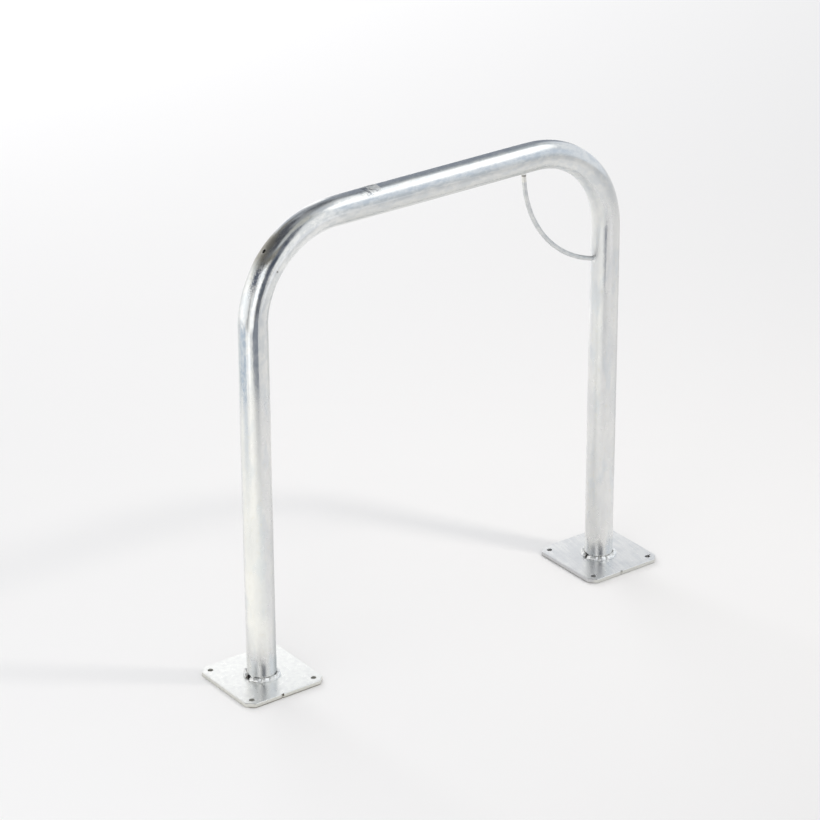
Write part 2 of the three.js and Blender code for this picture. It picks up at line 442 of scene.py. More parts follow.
# %% Plate shapes
def cut_corners(x, y, half, chamfer):
    """Pushes the corners of a square in to its chamfers, over the last 7 mm from the rim."""
    ring = np.maximum(np.abs(x), np.abs(y))
    spread = (np.abs(x) + np.abs(y)) / np.maximum(ring, 1e-9)
    over = half * spread - (2 * half - chamfer)
    curve = (over + corner_round) ** 2 / (4 * corner_round)
    rounded = np.where(np.abs(over) < corner_round, curve, np.maximum(over, 0))
    pull = 1 - rounded / (half * spread)
    scale = 1 + (pull - 1) * smooth_step(ring, half - 7 * mm, half)
    return x * scale, y * scale


def cut_nick(x, y):
    """Moves the front rim in where the shear bit it: a V as wide as nick_width, deepest in its middle."""
    bite = np.clip(1 - np.abs(x - nick_offset) / (nick_width / 2), 0, 1)
    near_front = smooth_step(-y, plate_half - 3 * mm, plate_half)
    return x, y + nick_depth * bite * near_front


def plate_outline(inset):
    """The plate's grid of (x, y), shrunk by `inset` at its rim."""
    line = np.linspace(-1, 1, 2 * round(plate_half / plate_step) + 1) * plate_half
    x, y = np.meshgrid(line, line, indexing="ij")
    mouth = bolt_radius + lip_round
    for side_x in (-1, 1):
        for side_y in (-1, 1):
            centre_x, centre_y = side_x * bolt_offset, side_y * bolt_offset
            a, b = open_hole(x - centre_x, y - centre_y, plate_step, bolt_reach, bolt_fade, mouth)
            x, y = centre_x + a, centre_y + b
    x, y = cut_corners(x, y, plate_half, plate_chamfer)
    x, y = cut_nick(x, y)
    ring = np.maximum(np.abs(x), np.abs(y))
    shrink = 1 - inset / plate_half * smooth_step(ring, plate_half - 9 * mm, plate_half)
    return x * shrink, y * shrink


def zinc_lie(x, y):
    """Height of the zinc on a flat face: shallow runs a few hundredths of a millimetre deep."""
    runs = np.sin(x / (11 * mm) + 1.7 * np.sin(y / (23 * mm))) + np.sin((x + 2 * y) / (17 * mm) + 0.6)
    return 0.02 * mm * (runs - 2)


def make_plate(name, centre_x, shift):
    """Top and bottom grids, the rounded rim between them and the four holes' walls, in one closed mesh."""
    x, y = plate_outline(rim_round)
    wide = x.shape[0]
    top = np.stack([x, y, plate_top + zinc_lie(x + shift, y)], axis=-1).reshape(-1, 3)
    bottom = np.stack([x, y, 0 * x], axis=-1).reshape(-1, 3)
    blocks = [top, bottom]
    top_index = np.arange(wide * wide).reshape(wide, wide)
    bottom_index = top_index + wide * wide
    middle = wide // 2
    out = round(bolt_offset / plate_step)
    holes = [(middle + side_x * out, middle + side_y * out) for side_x in (-1, 1) for side_y in (-1, 1)]
    keep = np.ones((wide - 1, wide - 1), dtype=bool)
    for row, column in holes:
        keep[row - bolt_reach : row + bolt_reach, column - bolt_reach : column + bolt_reach] = False
    faces = [grid_faces(top_index)[keep], grid_faces(bottom_index)[keep][:, ::-1]]
    count = 2 * wide * wide

    def add_rings(start_loop, end_loop, outlines, heights, flip):
        """Rings of points from the top loop to the bottom loop, at the given outlines and heights."""
        nonlocal count
        loops = [start_loop]
        for xy, z in zip(outlines, heights):
            blocks.append(np.column_stack([xy, np.full(len(xy), z)]))
            loops.append(count + np.arange(len(xy)))
            count += len(xy)
        loops.append(end_loop)
        for one, other in zip(loops[:-1], loops[1:]):
            rim = strip(one, other)
            faces.append(rim[:, ::-1] if flip else rim)

    def ring_heights(depth):
        """Heights of the rings: down a quarter circle from the top face, then up one from the bottom."""
        falls = [depth * (1 - math.cos(q)) for q in quarter]
        return [plate_top - fall for fall in falls] + falls[::-1]

    quarter = np.linspace(0, math.pi / 2, round_steps + 1)[1:]
    rim_top = block_loop(top_index, middle, middle, middle)
    rim_bottom = block_loop(bottom_index, middle, middle, middle)
    edge = top[rim_top][:, :2]
    full = np.stack(plate_outline(0.0), axis=-1).reshape(-1, 2)[rim_top]
    rounds = [edge + (full - edge) * math.sin(q) for q in quarter]
    add_rings(rim_top, rim_bottom, rounds + rounds[::-1], ring_heights(rim_round), flip=True)
    for row, column in holes:
        loop_top = block_loop(top_index, row, column, bolt_reach)
        loop_bottom = block_loop(bottom_index, row, column, bolt_reach)
        centre = top[top_index[row, column]][:2]
        reach = top[loop_top][:, :2] - centre
        unit = reach / np.linalg.norm(reach, axis=1, keepdims=True)
        lips = [centre + unit * (bolt_radius + lip_round * (1 - math.sin(q))) for q in quarter]
        add_rings(loop_top, loop_bottom, lips + lips[::-1], ring_heights(lip_round), flip=False)
    points = np.concatenate(blocks)
    points[:, 0] += centre_x
    used, faces = compact(faces)
    piece = closed_piece(name, points[used], faces)
    keep_vectors(piece, "on_plate", points[used] - np.array([centre_x, 0, 0]))
    return piece


plates = {
    "left": make_plate("plate_left_galvanised", -post_x, 0.0),
    "right": make_plate("plate_right_galvanised", post_x, 0.31),
}

# %% [markdown]
# ## The welds at the feet
#
# A hand weld is laid in short pushes, each of which leaves a lump, and zinc then gathers in and over the
# lumps. Each bead runs nearly half way round the foot, and its thin ends come over the edges of the drain
# notches. Its section is a rounded corner: flat on the plate, upright on the tube, and bulging between. The
# lumps are the same sum-of-sines trick as the tube's waves, but as large as a fifth of the bead. Along the
# tube the bead falls back into a crevice, where the seam stays open; its brown is a flux stain and painted
# shade of the gap.


# %% Foot welds
bead_leg = 7.5 * mm
bead_rise = 6.5 * mm
bead_gap_left = 3.1 * mm
bead_gap_right = 0.7 * mm
bead_steps = 220
bead_section = 18
bead_bulge = 0.95
bead_root = 0.35 * mm


def make_foot_weld(name, centre_x, side_y, seed, gap):
    """A bead round half a foot, of which `gap` is the distance of its ends from the hoop's plane.

    Its section is a rounded corner up from the plate, times a size: lumps less crevice, times taper.
    """
    start = math.asin(gap / (tube_radius + bead_leg / 2))
    along, up = np.meshgrid(np.linspace(0, 1, bead_steps), np.linspace(0, 1, bead_section), indexing="ij")
    around = start + (math.pi - 2 * start) * along
    rise = up * math.pi / 2
    arc = around * tube_radius
    pushes = np.abs(np.sin(arc / (4.6 * mm) + seed + 0.4 * np.sin(arc / (7.3 * mm)) + 0.25 * rise))
    lumps = 0.3 * (pushes - 0.55) + 0.06 * np.sin(arc / (1.3 * mm) + 2 * seed + rise)
    lumps = lumps + 0.015 * np.sin(arc / (0.7 * mm) - 2 * rise + seed)
    lumps = lumps * np.sin(math.pi * up) ** 0.7
    crevice = 0.22 * smooth_step(up, 0.86, 1.0) * (0.6 + 0.4 * np.sin(arc / (4.3 * mm) + seed))
    taper = np.clip(1 - np.abs(2 * along - 1) ** 14, 0, 1) ** 0.5
    size = (0.87 + lumps - crevice) * (0.12 + 0.88 * taper)
    leg = bead_root + bead_leg * np.cos(rise) ** bead_bulge
    height = bead_rise * np.sin(rise) ** bead_bulge

    root = tube_radius - bead_root
    radius = np.column_stack([root + leg * size, np.full(bead_steps, root)])
    z = np.column_stack([plate_top + height * size, np.full(bead_steps, plate_top)])
    turn = np.column_stack([around, around[:, 0]])
    points = np.stack([centre_x + radius * np.cos(turn), side_y * radius * np.sin(turn), z], axis=-1)
    piece = closed_rings(name, points)

    # The seam marks the brown at the bead's top edge and ends: a flux stain and painted shade of the open
    # gap.
    open_edge = smooth_step(up, 0.8, 1.0) * (0.55 + 0.45 * np.sin(arc / (3.1 * mm) + seed))
    open_ends = smooth_step(np.abs(2 * along - 1), 0.945, 0.985)
    seam = np.column_stack([np.maximum(open_edge, open_ends), np.ones(bead_steps)])
    keep_numbers(piece, "seam", np.append(seam, [1.0, 1.0]))
    return piece


foot_welds = {
    "weld_left_front": make_foot_weld("bead_left_front", -post_x, -1, 0.4, bead_gap_left),
    "weld_left_rear": make_foot_weld("bead_left_rear", -post_x, 1, 1.9, bead_gap_left),
    "weld_right_front": make_foot_weld("bead_right_front", post_x, -1, 3.1, bead_gap_right),
    "weld_right_rear": make_foot_weld("bead_right_rear", post_x, 1, 4.6, bead_gap_right),
}

# %% [markdown]
# ## The lock rod
#
# A thin round bar is bent to an arc and welded under the bar and against the right post, so that a lock
# can't slide off round the bend. It is a circle of 8 mm carried along an arc, with a small collar of weld
# and zinc at each end. Its centre line has the formula centre + radius (cos turn, 0, sin turn).

# %% The rod and its collars
rod_radius = corners("lock_rod")[1][1]
rod_bend_radius = 194 * mm
rod_centre_x = post_x + 21 * mm
rod_centre_z = bar_z - 22 * mm
rod_bite = 1.0 * mm
rod_from = math.pi - math.asin((bar_z - tube_radius + rod_bite - rod_centre_z) / rod_bend_radius)
rod_to = math.pi + math.acos((rod_centre_x - post_x + tube_radius - rod_bite) / rod_bend_radius)
rod_steps = 140
rod_columns = 40
collar_steps = 14
collar_columns = 48


def make_rod():
    """A slightly uneven circle carried along the arc."""
    columns = 2 * math.pi * np.arange(rod_columns) / rod_columns
    turn, angle = np.meshgrid(np.linspace(rod_from, rod_to, rod_steps), columns, indexing="ij")
    arc = turn * rod_bend_radius
    waves = 0.012 * (1 - np.sin(arc / (6.3 * mm) + 2 * angle))
    waves = waves + 0.006 * (1 - np.sin(arc / (2.1 * mm) + angle))
    radius = rod_radius * (1 - waves)
    reach = rod_bend_radius + radius * np.cos(angle)
    x, z = rod_centre_x + reach * np.cos(turn), rod_centre_z + reach * np.sin(turn)
    return closed_rings("rod_galvanised", np.stack([x, radius * np.sin(angle), z], axis=-1))


def make_collar(name, turn, away, seed):
    """A lumpy skirt round the rod's end: wide on the tube, closing onto the rod 4 mm up."""
    side = np.array([math.cos(turn), 0.0, math.sin(turn)])
    front = np.array([0.0, 1.0, 0.0])
    axis = away * np.array([-math.sin(turn), 0.0, math.cos(turn)])
    centre = np.array([rod_centre_x, 0.0, rod_centre_z]) + rod_bend_radius * side
    columns = 2 * math.pi * np.arange(collar_columns) / collar_columns
    up, angle = np.meshgrid(np.linspace(0, 1, collar_steps), columns, indexing="ij")
    lumps = 1 + 0.16 * np.sin(3 * angle + seed) + 0.09 * np.sin(7 * angle + 2 * seed + 2 * up)
    skirt = 2.9 * mm * lumps * (1 - up) ** 1.5
    radius = rod_radius + 0.15 * mm + skirt - 0.25 * mm * up**6
    height = -1.6 * mm + (rod_bite + 4.4 * mm) * up * (1 + 0.12 * np.sin(2 * angle + seed))
    ring = np.cos(angle)[..., None] * side + np.sin(angle)[..., None] * front
    piece = closed_rings(name, centre + height[..., None] * axis + radius[..., None] * ring)
    # Painted shade at the collar's foot, where it meets the tube, with a flux stain.
    stains_and_shade = smooth_step(np.sin(2 * angle + seed) + 0.5 * np.sin(5 * angle), -0.5, 0.3)
    seam = smooth_step(-up, -0.62, -0.4) * stains_and_shade * smooth_step(-np.cos(angle), -0.6, 0.2)
    keep_numbers(piece, "seam", np.append(seam, [1.0, 0.0]))
    return piece


rod = make_rod()
collars = {
    "lock_rod_weld_bar": make_collar("collar_bar", rod_from, 1, 0.7),
    "lock_rod_weld_post": make_collar("collar_post", rod_to, -1, 2.2),
}

# %% [markdown]
# ## Zinc
#
# Hot-dip zinc is a metal: it has no colour of its own under the reflections, only a pale grey that takes
# away about a fifth of the light. Its looks come from how rough it is and from how the surface lies. So
# each material below is a metal with a light grey, a roughness that changes from place to place, and bumps
# that have the real sizes of the marks. Colours are written as sRGB hex values and turned to linear by one
# function.
#
# A material is put together from masks, numbers between 0 and 1 that say where something is. Tints are laid
# over the colour by their masks, amounts are added to the roughness by theirs, and a pattern times a mask
# is a bump in that place only.


# %% Colours, nodes and masks
def linear(colour):
    """Linear red, green, blue and alpha of an sRGB hex colour.

    Each channel is ((c + 0.055) / 1.055)^2.4, or c / 12.92 where it is dark.
    """
    c = np.array([int(colour[k : k + 2], 16) / 255 for k in (1, 3, 5)])
    c = np.where(c <= 0.04045, c / 12.92, ((c + 0.055) / 1.055) ** 2.4)
    return (*c.tolist(), 1.0)


def new_material(name):
    """An empty node material and its tree."""
    material = bpy.data.materials.new(name)
    material.use_nodes = True
    material.node_tree.nodes.clear()
    return material, material.node_tree


def add_node(tree, kind, *feeds, take="", **settings):
    """Adds one node with its settings and links, and gives back its first open output.

    The feeds are values, or the sockets that give them, for the node's open inputs in turn. A dict in their
    place names its inputs. `take` names another output, or is "all" for a dict of the open ones.
    """
    node = tree.nodes.new("ShaderNode" + kind)
    for name, value in settings.items():
        setattr(node, name, value)
    if feeds and isinstance(feeds[0], dict):
        pairs = [(node.inputs[name], feed) for name, feed in feeds[0].items()]
    else:
        pairs = zip([socket for socket in node.inputs if socket.enabled], feeds)
    for socket, feed in pairs:
        if isinstance(feed, bpy.types.NodeSocket):
            tree.links.new(feed, socket)
        else:
            socket.default_value = feed
    outputs = {socket.name: socket for socket in node.outputs if socket.enabled}
    if take == "all":
        return outputs
    return outputs[take] if take else next(iter(outputs.values()), None)


def mask(tree, *factors):
    """The product of its factors, which are numbers, sockets, ramps and bands.

    A ramp (value, start, end, before, after) goes from `before` to `after` in an S-curve. A band (value,
    centre, reach, soft) is 1 within `reach` of the centre, and falls to 0 over the next `soft`.
    """
    product = None
    for factor in factors:
        if isinstance(factor, tuple) and len(factor) == 4:
            value, centre, reach, soft = factor
            away = add_node(tree, "Math", value, centre, operation="SUBTRACT")
            away = add_node(tree, "Math", away, operation="ABSOLUTE")
            factor = (away, reach, reach + soft, 1, 0)
        if isinstance(factor, tuple):
            factor = add_node(tree, "MapRange", *factor, interpolation_type="SMOOTHSTEP")
        if product is not None:
            factor = add_node(tree, "Math", product, factor, operation="MULTIPLY")
        product = factor
    return product


def summed(tree, number, parts):
    """A number plus its parts. Each is an amount and the factors of the mask that it is multiplied by."""
    for amount, *factors in parts:
        number = add_node(tree, "Math", mask(tree, *factors), amount, number, operation="MULTIPLY_ADD")
    return number


def tinted(tree, colour, coats):
    """A colour under coats of tint, the last one on top. Each is a tint and the factors of its mask."""
    for tint, *factors in coats:
        colour = add_node(tree, "Mix", mask(tree, *factors), colour, tint, data_type="RGBA")
    return colour


def patterns(tree, vector, rows):
    """Noise between 0 and 1 for each row: squeeze along the axes, size in metres, detail, unevenness."""
    found = []
    for squeeze, size, detail, uneven in rows:
        squeezed = add_node(tree, "VectorMath", vector, squeeze, operation="MULTIPLY")
        found.append(add_node(tree, "TexNoise", squeezed, 1 / size, detail, uneven))
    return found


def end_in_metal(tree, colour, roughness, bumps):
    """Bare metal with bumps on bumps. Each is a depth in metres and the factors of its height."""
    look = {"Base Color": colour, "Metallic": 1.0, "Roughness": roughness}
    for depth, *factors in bumps:
        feeds = {"Strength": 1.0, "Distance": depth, "Height": mask(tree, *factors)}
        if "Normal" in look:
            feeds["Normal"] = look["Normal"]
        look["Normal"] = add_node(tree, "Bump", feeds)
    add_node(tree, "OutputMaterial", add_node(tree, "BsdfPrincipled", look))


# %% [markdown]
# ### The tube's zinc
#
# Drawn tube carries faint lines along its length, so its patterns are stretched that way. The mesh keeps,
# for each point, where it would be if the tube were straightened: the length along it, and its place in the
# ring. Reading that instead of the real place lets lines run round the bends without a seam. The masks
# count the place in the ring in radii: `outwards` is 1 on the outside of the hoop, and `sideways` is 1 at
# its front.

# %% Hot-dip galvanised tube: places and patterns
# To the eye a bright satin metal, with clouds a few centimetres long and fine lines along it.
zinc_light = linear("#ebebe9")
zinc_mid = linear("#e2e3e3")
zinc_blue = linear("#d8dde1")
zinc_warm = linear("#e5e3db")

material_tube, tree = new_material("hot_dip_galvanised_tube")
straight = add_node(tree, "Attribute", take="Vector", attribute_name="straight")
in_radii = add_node(tree, "VectorMath", straight, (1, 1 / tube_radius, 1 / tube_radius), operation="MULTIPLY")
length_along, outwards, sideways = add_node(tree, "SeparateXYZ", in_radii, take="all").values()
cloud, mottle, streak, blotch, spangle, grain = patterns(tree, straight, [
    ((0.45, 1, 1), 34 * mm, 3.0, 0.5),
    ((0.5, 1, 1), 5 * mm, 3.0, 0.6),
    ((0.02, 1, 1), 2.2 * mm, 2.0, 0.5),
    ((0.3, 1, 1), 18 * mm, 2.0, 0.5),
    ((0.55, 1, 1), 9 * mm, 4.0, 0.65),
    ((0.5, 1, 1), 2.4 * mm, 3.0, 0.65),
])

# %% [markdown]
# The bender's shoe and mandrel polished the tube from 127 mm below the first bend to the end of the second
# one. There the roughness is low and reflections are crisp, most of all where the first bend begins. Below,
# the zinc cooled to a satin cloud. Where the polish begins is ragged by a few centimetres, as the edge of a
# wipe is, so patterns are added to the length before it is compared. It fades out over the second bend,
# which was bent last, with a dry shoe. The foot of each post was ground clean for the weld and is smoother
# again.

# %% Where the tube is polished, with its colour and roughness
polish_cool = linear("#d4d8da")
polish_pale = linear("#e6e7e5")
polish_from = post_run - 127 * mm
polish_to = post_run + 2 * bend_run + bar_run

ragged = summed(tree, length_along, [(70 * mm, spangle), (30 * mm, blotch)])
polish = mask(
    tree,
    (ragged, polish_from + 34 * mm, polish_from + 112 * mm, 0, 1),
    (length_along, polish_to - 130 * mm, polish_to + 10 * mm, 1, 0),
)
from_right_foot = add_node(tree, "Math", tube_run, length_along, operation="SUBTRACT")
from_foot = add_node(tree, "Math", length_along, from_right_foot, operation="MINIMUM")
ground = mask(tree, (from_foot, 30 * mm, 55 * mm, 0.5, 0))
smooth = add_node(tree, "Math", polish, ground, operation="MAXIMUM")
dull = mask(tree, (mottle, 0.3, 0.7, 0.27, 0.36))
bright = mask(tree, (spangle, 0.35, 0.7, 0.13, 0.24))
bright = summed(tree, bright, [(-0.05, (length_along, post_run + 20 * mm, 80 * mm, 50 * mm))])
roughness = add_node(tree, "Mix", smooth, dull, bright, data_type="FLOAT")
colour = tinted(tree, zinc_light, [
    (zinc_mid, (cloud, 0.35, 0.65, 0, 1)),
    (zinc_blue, (blotch, 0.52, 0.68, 0, 0.55)),
    (zinc_warm, (mottle, 0.55, 0.75, 0, 0.6)),
    (tinted(tree, polish_cool, [(polish_pale, (spangle, 0.38, 0.62, 0, 1))]), polish, 0.85),
])
print(f"polished from {polish_from / mm:.0f} mm to {polish_to / mm:.0f} mm along the tube")

# %% [markdown]
# The bender left its marks. Its clamp pressed a matt, pale ring on top of the bar, with slanting dents
# beside it, bumps with painted shade in them. A third of the way round the first bend, the shoe drew crossing
# scratches in a strip along its front, and faint wrinkles across it. Lower down, where the polish begins, it
# rubbed a narrow band, and a painted reflection tints that band bluish.


# %% Marks of the bender
def strokes(tree, vector, degrees, squeeze, size):
    """Noise drawn out to strokes that run aslant round the tube."""
    slanted = add_node(tree, "Mapping", {"Vector": vector, "Rotation": (0, math.radians(degrees), 0)})
    return patterns(tree, slanted, [((squeeze, 1, 1), size, 2.0, 0.5)])[0]


ring = mask(
    tree,
    (length_along, clamp_s, clamp_length / 2, 2 * mm),
    (outwards, 0.72, 0.94, 0, 1),
    (grain, 0.36, 0.56, 0.45, 1),
)
# The dents are bumps; their dark grey is painted shade, laid on the bright strip below the top.
dents_and_painted_shade = mask(
    tree,
    (length_along, speckle_s, speckle_length / 2, 12 * mm),
    (outwards, 0.6, 0.85, 0, 1),
    (strokes(tree, straight, 38, 0.16, 2.7 * mm), 0.5, 0.6, 0, 1),
)
in_bend = mask(tree, (length_along, post_run + 0.31 * bend_run, 0.07 * bend_run, 0.1 * bend_run))
[wrinkle] = patterns(tree, straight, [((1, 0.16, 0.16), 3 * mm, 4.0, 0.65)])
in_strip = mask(tree, in_bend, (sideways, 0.34, 0.15, 0.12))
one_way = strokes(tree, straight, 38, 0.08, 1.8 * mm)
other_way = strokes(tree, straight, -38, 0.08, 1.8 * mm)
scratch = add_node(tree, "Math", one_way, other_way, operation="ADD")
# The worn band's bumps are real rub marks; its bluish tint is a painted reflection.
worn_and_painted_reflection = mask(tree, (length_along, polish_from + 78 * mm, 42 * mm, 32 * mm), (sideways, 0.24, 0.18, 0.12))
print("marks of the bender: ring, dents, wrinkles, scratches and a worn band")

# %% [markdown]
# The zinc left its own. Round the vent it drained away and left a dull brown-grey patch, with a pale lip at
# the hole's edge. It lies thick and pale on the inner side of the first bend. Painted shade makes the
# underside of the bar greyer, and a painted dark reflection makes the inner side of the left foot darker. A
# pit beside the vent is brown inside. The inner side of the second bend is rougher, and the right post has a
# slick patch just below that bend.

# %% Marks of the dip, painted shade under the bar and a painted reflection on the foot
pit_reach = 0.8 * mm
pit_reach_radii = pit_reach / tube_radius

from_vent = add_node(tree, "VectorMath", straight, (vent_s, tube_radius, 0), operation="DISTANCE")
lip = mask(tree, (from_vent, 4.4 * mm, 0.5 * mm, 0.4 * mm), (mottle, 0.4, 0.6, 0.2, 1))
drained = mask(
    tree,
    (length_along, vent_s + 3 * mm, 14 * mm, 22 * mm),
    (sideways, 0.2, 0.6, 1, 0),
    (spangle, 0.3, 0.6, 0.75, 1),
)
pale = mask(
    tree,
    (length_along, post_run + 0.64 * bend_run, 0.28 * bend_run, 0.24 * bend_run),
    (outwards, 0.3, 0.6, 0.65, 0),
    (spangle, 0.4, 0.6, 0.25, 1),
)
# Painted shade: the underside of the bar is painted greyer.
shaded_underside = mask(tree, (outwards, -0.5, -0.1, 0.5, 0), (length_along, tube_run / 2, 0.45 * bar_run, 90 * mm))
# Painted dark reflection: the inner side of the left foot is painted darker grey.
painted_shade_on_left = mask(tree, (length_along, 15 * mm, 120 * mm, 0.8, 0), (outwards, -0.6, -0.15, 1, 0))
in_pit = mask(
    tree,
    (length_along, pit_s, pit_reach, pit_reach),
    (outwards, math.cos(pit_angle), pit_reach_radii, pit_reach_radii),
    (sideways, 0, 0.5, 0, 1),
)
inner = mask(
    tree,
    (outwards, -0.85, -0.5, 1, 0),
    (length_along, bend_middles[1] + 50 * mm, bend_run / 2 + 50 * mm, 60 * mm),
)
slick = mask(tree, (length_along, polish_to + 50 * mm, 45 * mm, 25 * mm), (outwards, -0.6, 0.25, 0.2))
print("marks of the dip: drained patch, lip, pale and grey zinc, pit, heated foot, rough and slick patches")

# %% [markdown]
# All of it is now laid over the clean tube. Most of the bumps are about a tenth of a millimetre deep or
# less. The worn band and the wrinkles are drawn deeper, so that they still show when they are only a few
# pixels wide.

# %% The tube's finish
colour = tinted(tree, colour, [
    (linear("#a8a49a"), drained, 0.85),
    (linear("#f3f4f3"), pale),
    # painted shade under the bar
    (linear("#c9cac6"), shaded_underside),
    # painted dark reflection on the left foot
    (linear("#a6acae"), painted_shade_on_left),
    (linear("#6e6760"), in_pit),
    (linear("#fffffc"), ring, 0.9),
    # painted shade in the dents
    (linear("#6f727a"), dents_and_painted_shade, 0.8),
    (zinc_light, lip),
    # painted reflection: the worn band's bluish tint
    (linear("#b3bfcc"), worn_and_painted_reflection, (mottle, 0.36, 0.62, 0.8, 0.3)),
])
roughness = summed(tree, roughness, [
    (0.6, ring),
    (0.25, drained),
    (0.22, inner),
    (-0.16, slick),
    (0.25, lip),
    (0.3, (scratch, 1.02, 1.14, 0, 1), in_strip),
])
end_in_metal(tree, colour, roughness, [
    (0.03 * mm, streak),
    (0.04 * mm, blotch),
    (0.045 * mm, mottle),
    (0.12 * mm, grain, polish, (blotch, 0.35, 0.65, 0.35, 1)),
    (0.8 * mm, worn_and_painted_reflection, grain),
    (0.12 * mm, scratch, in_strip),
    (0.4 * mm, wrinkle, in_bend, 0.5),
    (0.12 * mm, dents_and_painted_shade),
])

# %% [markdown]
# ### The plates' zinc
#
# The flat faces drained evenly and came out almost like a dull mirror: the foot of the post shows in them,
# sharp near the weld and softer further out. The left plate is white and mottled, and the right one bluish,
# with soft streaks where the zinc ran off it. The rims were sheared, and zinc sits darker and rougher on
# the torn steel. Which of the two a point is on is told by its normal: up or down on a face, level on the
# rim.

# %% Hot-dip galvanised plate: its faces
# To the eye a soft mirror with a dull rim, white on the left and bluish on the right.
streak_turn = math.radians(100)

material_plate, tree = new_material("hot_dip_galvanised_plate")
place = add_node(tree, "TexCoord", take="Object")
on_right = mask(tree, (add_node(tree, "SeparateXYZ", place), -0.1, 0.1, 0, 1))
from_middle = add_node(tree, "Attribute", take="Vector", attribute_name="on_plate")
across, forward, up = add_node(tree, "SeparateXYZ", from_middle, take="all").values()
facing = add_node(tree, "SeparateXYZ", add_node(tree, "NewGeometry", take="Normal"), take="Z")
on_rim = mask(tree, (add_node(tree, "Math", facing, operation="ABSOLUTE"), 0.35, 0.75, 1, 0))

turned = add_node(tree, "Mapping", {"Vector": place, "Rotation": (0, 0, streak_turn)})
[streak] = patterns(tree, turned, [((0.08, 1, 1), 4.5 * mm, 3.0, 0.5)])
cloud, blotch, grain = patterns(tree, place, [
    ((1, 1, 1), 26 * mm, 3.0, 0.5),
    ((1, 1, 1), 7 * mm, 4.0, 0.65),
    ((1, 1, 1), 1.6 * mm, 3.0, 0.6),
])
runs = summed(tree, mask(tree, streak, 0.5), [(0.5, cloud)])
left_face = tinted(tree, linear("#f6f7f5"), [(linear("#f1f2f1"), (blotch, 0.4, 0.65, 0, 1))])
right_face = tinted(tree, linear("#edeeee"), [(linear("#e1e3e5"), (runs, 0.4, 0.6, 0, 1))])
face_roughness = mask(tree, (blotch, 0.3, 0.7, 0.27, 0.33))

# %% [markdown]
# The rim is shaded by masks: a painted slate shade on the right plate's rim, a painted contact shade along
# its foot, and the torn nick. Less of both is painted on the lit faces, the left edge of the left plate and
# the front edge of the right one. A burr beside one hole of the right plate caught a short dark run of flux.

# %% The plates' rims and marks
rim_olive = linear("#d6d6cd")
rim_grey = linear("#ecece8")
# Painted shade on the right plate's rim.
painted_slate_shade = linear("#bfc0c7")
# Painted shade, laid along the plates' foot and in the welds' hollows.
painted_crevice_shade = linear("#8f8a80")
tear_brown = linear("#6b645c")
rim_roughness = 0.44

# The lit rim faces, where less painted shade is laid.
left_edge = mask(tree, (across, 1 * mm - plate_half, 8 * mm - plate_half, 1, 0))
front_edge = mask(tree, (forward, 1 * mm - plate_half, 8 * mm - plate_half, 1, 0))
lit_rim_face = add_node(tree, "Mix", on_right, left_edge, front_edge, data_type="FLOAT")
rim = tinted(tree, rim_olive, [(rim_grey, grain), (painted_slate_shade, on_right, (lit_rim_face, 0, 1, 0.55, 0.15))])
torn = mask(
    tree,
    (across, nick_offset, nick_width / 2, 0.4 * mm),
    (forward, -plate_half, 0.8 * nick_depth, 0.5 * mm),
    (up, 0.4 * plate_top, 0.6 * plate_top, 0, 1),
    (on_right, 0, 1, 1, 0.5),
)
burr = mask(
    tree,
    (across, bolt_offset + 5.5 * mm, 2.4 * mm, 0.6 * mm),
    (summed(tree, forward, [(-0.35, across)]), -1.35 * bolt_offset, 0.7 * mm, 0.5 * mm),
    on_right,
)
# Painted contact shade along the foot of the rim.
painted_contact_shade = mask(
    tree,
    (up, 0.8 * mm, 3.4 * mm, 0.9, 0),
    on_rim,
    (on_right, 0, 1, 1, 0.65),
    (lit_rim_face, 0, 1, 1, 0.2),
)
colour = tinted(tree, left_face, [
    (right_face, on_right),
    (rim, on_rim),
    (painted_crevice_shade, painted_contact_shade),
    (tear_brown, add_node(tree, "Math", torn, burr, operation="MAXIMUM")),
])
roughness = add_node(tree, "Mix", on_rim, face_roughness, rim_roughness, data_type="FLOAT")
end_in_metal(tree, colour, roughness, [
    (0.006 * mm, streak),
    (0.007 * mm, blotch),
    (0.25 * mm, grain, on_rim),
])

# %% [markdown]
# ### The welds' zinc and the rod's zinc
#
# Zinc runs off the lumps of a weld and stays in its hollows, so a bead is bright and smooth on top and dull
# in the crevices, and the crevices are painted brown-grey, a painted shade. Along the open seam between bead
# and tube, and at the beads' ends, the brown is a flux stain and painted shade of the gap. The mesh keeps
# where that seam is.
#
# The rod is plain round bar with a thin, even coat, a little greyer than the tube. Just under the bar, at the
# tip of its collar, a brown band is a flux stain and painted crevice shade, and below that a run of thicker
# zinc is cream.

# %% Hot-dip galvanised weld and rod
# To the eye, white lumps with brown between them, and a plain satin grey.
zinc_bright = linear("#f8f9f8")
flux_stain_and_shade = linear("#6f675d")
rod_grey = linear("#e2e3e2")
rod_shade = linear("#d2d5d6")
cream_zinc = linear("#efece4")
bar_underside = bar_z - tube_radius

material_weld, tree = new_material("hot_dip_galvanised_weld")
place = add_node(tree, "TexCoord", take="Object")
fine, coarse = patterns(tree, place, [((1, 1, 1), 1.1 * mm, 3.0, 0.6), ((1, 1, 1), 4 * mm, 2.0, 0.5)])
# Painted shade: the hollows of the bead are painted brown-grey.
hollow = mask(tree, (add_node(tree, "NewGeometry", take="Pointiness"), 0.44, 0.5, 1, 0))
# The seam's brown is a flux stain and painted shade of the open gap.
seam = add_node(tree, "Attribute", take="Fac", attribute_name="seam")
colour = tinted(tree, zinc_bright, [(painted_crevice_shade, hollow), (flux_stain_and_shade, seam, (fine, 0.3, 0.6, 0.6, 1))])
roughness = summed(tree, mask(tree, (coarse, 0.3, 0.7, 0.4, 0.52)), [(0.2, hollow)])
end_in_metal(tree, colour, roughness, [(0.12 * mm, coarse), (0.02 * mm, fine)])

